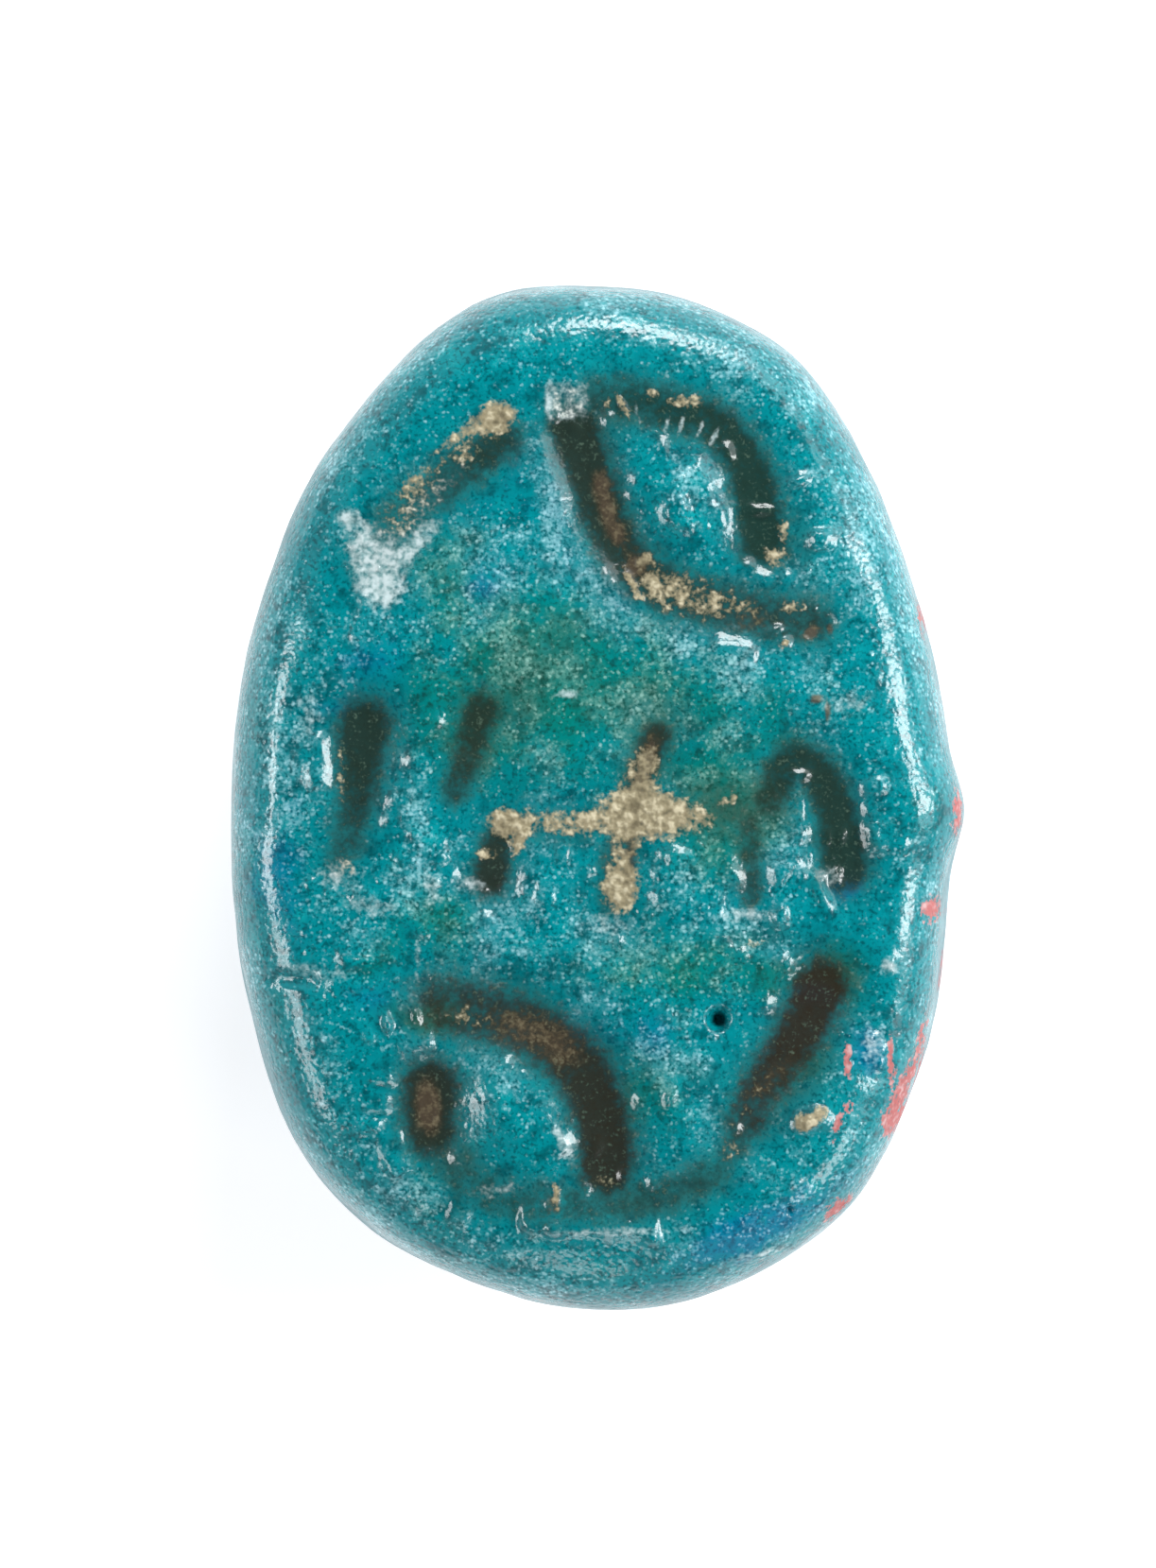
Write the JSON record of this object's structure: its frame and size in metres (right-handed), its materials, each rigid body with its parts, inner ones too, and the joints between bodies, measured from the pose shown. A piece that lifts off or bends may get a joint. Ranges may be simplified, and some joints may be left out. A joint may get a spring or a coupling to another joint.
{
  "type": "oval stamp seal",
  "caption": "Small oval seal of turquoise-glazed faience with a carved flat face, a domed back and a lengthwise thread hole.",
  "frame": {"origin": "under the middle of the seal, on the flat spot it rests on", "axes": "+Y along the seal's length, towards the narrower end; +Z out of the carved face; +X to the right, seen from above the face"},
  "size_m": [0.01, 0.014, 0.006],
  "materials": {
    "turquoise_faience": "glossy"
  },
  "bodies": {
    "root": {"stamp_seal": "turquoise_faience"}
  },
  "joints": []
}
